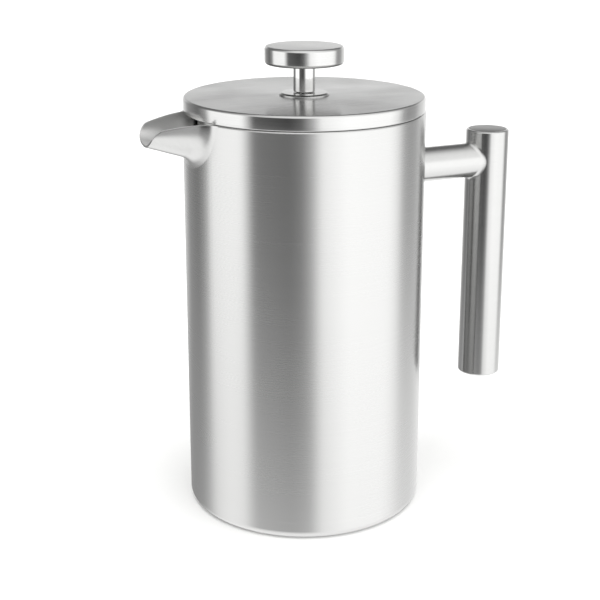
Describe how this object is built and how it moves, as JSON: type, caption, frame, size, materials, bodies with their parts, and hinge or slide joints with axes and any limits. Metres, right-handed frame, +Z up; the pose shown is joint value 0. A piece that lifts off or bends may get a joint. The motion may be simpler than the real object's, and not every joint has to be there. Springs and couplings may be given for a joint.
{
  "type": "french press",
  "caption": "Double-walled steel coffee press: cylindrical vessel with a gutter spout and a bar handle, a flat lid, and a knobbed plunger that carries a mesh filter.",
  "frame": {"origin": "middle of the base plate's underside, on the surface the press stands on", "axes": "+Z up along the vessel's axis, +X from the vessel towards the handle, -X towards the spout"},
  "size_m": [0.1782, 0.107, 0.2093],
  "materials": {
    "brushed_steel": "brushed",
    "polished_steel": "polished",
    "mesh_steel": "woven wire cloth",
    "ptfe": "satin"
  },
  "bodies": {
    "vessel": {"outer_shell": "brushed_steel", "inner_liner": "brushed_steel", "base_plate": "brushed_steel", "spout": "brushed_steel", "handle_arm": "brushed_steel", "handle_bar": "brushed_steel", "handle_top_cap": "brushed_steel", "handle_bottom_cap": "brushed_steel"},
    "lid": {"lid_cap": "brushed_steel", "lid_pan": "brushed_steel", "guide_collar": "polished_steel", "guide_nut": "polished_steel"},
    "guide": {"guide_bush": "ptfe"},
    "plunger": {"knob_cap": "brushed_steel", "knob_base": "brushed_steel", "knob_neck": "polished_steel", "knob_insert": "polished_steel", "plunger_rod": "polished_steel", "cross_plate": "polished_steel", "mesh_screen": "mesh_steel", "spring_plate": "polished_steel", "rim_spring": "polished_steel", "hub_washer": "polished_steel", "stop_nut": "polished_steel", "filter_hub": "polished_steel"}
  },
  "joints": [
    {"name": "lid_lift", "type": "slide", "parent": "vessel", "child": "lid", "axis": [0, 0, 1], "range_m": [0, 0.19]},
    {"name": "plunger_turn", "type": "hinge", "parent": "lid", "child": "guide", "pos_m": [0, 0, 0.18], "axis": [0, 0, 1], "continuous": true},
    {"name": "plunge", "type": "slide", "parent": "guide", "child": "plunger", "axis": [0, 0, 1], "range_m": [0, 0.132]}
  ]
}
